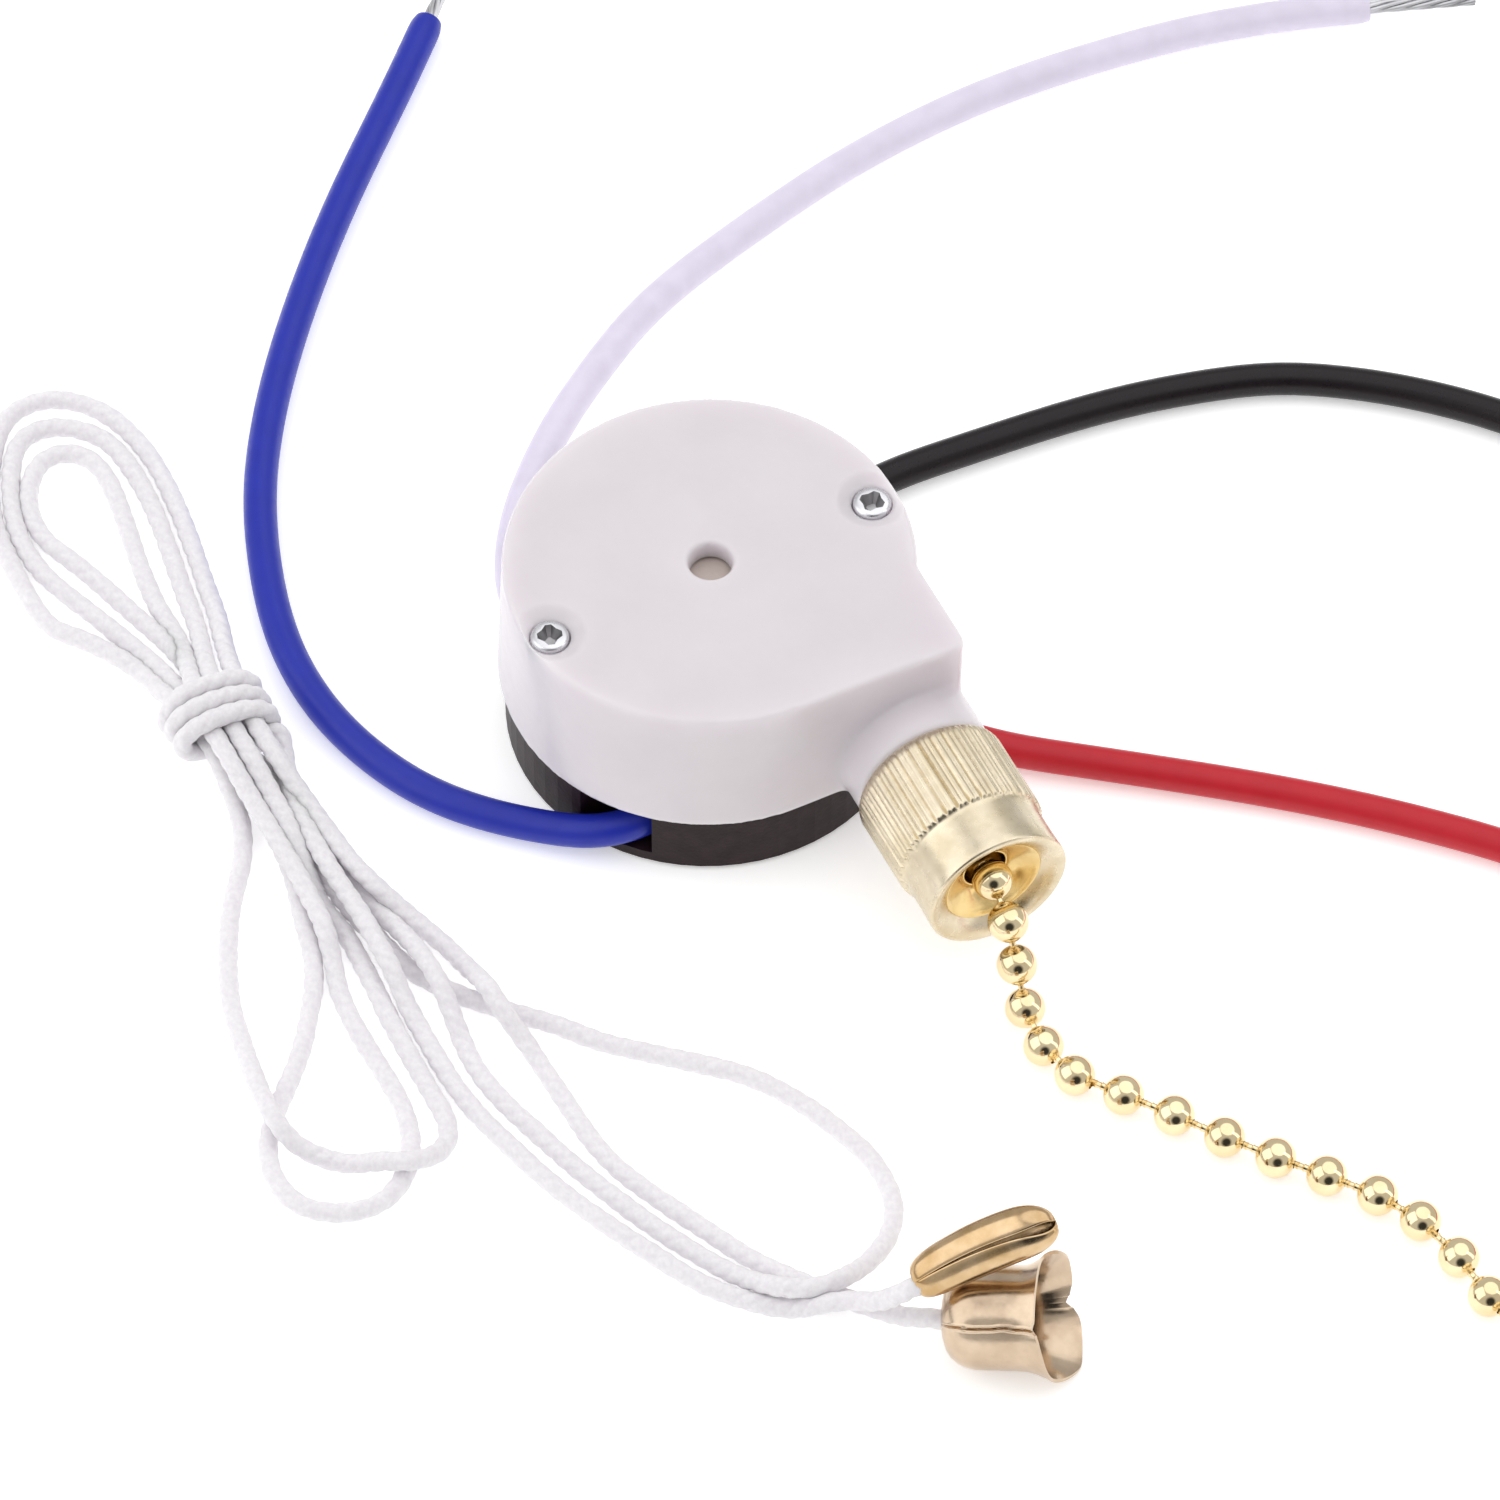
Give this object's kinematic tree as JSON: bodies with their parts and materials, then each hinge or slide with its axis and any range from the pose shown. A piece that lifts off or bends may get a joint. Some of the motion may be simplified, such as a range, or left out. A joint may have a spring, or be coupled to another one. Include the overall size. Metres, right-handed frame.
{
  "type": "pull cord switch",
  "caption": "Round pull cord switch with a threaded side neck, knurled brass nut, ball chain, insulated lead wires and a separate white pull cord with bell and coupling.",
  "frame": {"origin": "centre of the base's underside, on the axis of the round body", "axes": "+Z from the base through the cap, +X along the threaded neck, the way the chain is pulled"},
  "size_m": [0.175, 0.141, 0.019],
  "materials": {
    "white_nylon": "semi-gloss natural nylon",
    "black_moulding": "satin phenolic moulding",
    "zinc_steel": "bright zinc plate",
    "polished_brass": "polished, brass plated",
    "satin_brass": "satin, brass plated",
    "beige_nylon": "moulded nylon",
    "contact_copper": "bare copper alloy",
    "tinned_copper": "tinned strands",
    "white_cord": "twisted white cord",
    "blue_insulation": "smooth PVC",
    "white_insulation": "smooth PVC",
    "black_insulation": "smooth PVC",
    "red_insulation": "smooth PVC"
  },
  "bodies": {
    "switch_body": {"housing_cap": "white_nylon", "base": "black_moulding", "cap_screw_1": "zinc_steel", "cap_screw_2": "zinc_steel", "chain_guide_bush": "polished_brass", "axle_pin": "zinc_steel", "fixed_contact_blue": "polished_brass", "wire_clamp_blue": "zinc_steel", "inner_conductor_blue": "tinned_copper", "wire_blue": "blue_insulation", "stripped_end_blue": "tinned_copper", "fixed_contact_white": "polished_brass", "wire_clamp_white": "zinc_steel", "inner_conductor_white": "tinned_copper", "wire_white": "white_insulation", "stripped_end_white": "tinned_copper", "fixed_contact_black": "polished_brass", "wire_clamp_black": "zinc_steel", "inner_conductor_black": "tinned_copper", "wire_black": "black_insulation", "stripped_end_black": "tinned_copper", "fixed_contact_red": "polished_brass", "wire_clamp_red": "zinc_steel", "inner_conductor_red": "tinned_copper", "wire_red": "red_insulation", "stripped_end_red": "tinned_copper", "cord_upper_loops": "white_cord", "cord_tied_bundle": "white_cord", "cord_run_to_bell": "white_cord", "cord_run_to_coupling": "white_cord", "cord_long_loop": "white_cord", "cord_outer_loop": "white_cord", "cord_inner_loop": "white_cord", "bell_pull": "satin_brass", "chain_coupling": "satin_brass"},
    "pull_chain": {"ball_chain": "polished_brass", "inner_chain": "polished_brass"},
    "drum": {"pull_drum": "beige_nylon", "wound_chain": "polished_brass", "ratchet_pawl": "zinc_steel", "return_spring": "zinc_steel"},
    "rotor": {"contact_rotor": "beige_nylon", "contact_plate": "contact_copper", "contact_spring": "zinc_steel"},
    "nut": {"knurled_nut": "polished_brass"}
  },
  "joints": [
    {"name": "chain_pull", "type": "slide", "parent": "switch_body", "child": "pull_chain", "axis": [1, 0, 0], "range_m": [0, 0.014], "stiffness_N_per_m": 150, "springref_m": -0.01},
    {"name": "drum_turn", "type": "hinge", "parent": "switch_body", "child": "drum", "pos_m": [0, 0, 0], "axis": [0, 0, 1], "range_deg": [-88, 0], "deforming": ["return_spring"]},
    {"name": "rotor_index", "type": "hinge", "parent": "switch_body", "child": "rotor", "pos_m": [0, 0, 0], "axis": [0, 0, 1], "continuous": true},
    {"name": "nut_turn", "type": "hinge", "parent": "switch_body", "child": "nut", "pos_m": [0.0195, 0.0092, 0.0093], "axis": [1, 0, 0], "continuous": true}
  ],
  "couplings": [
    {"joint": "drum_turn", "follows": "chain_pull", "rad_per_m": -108.7}
  ]
}
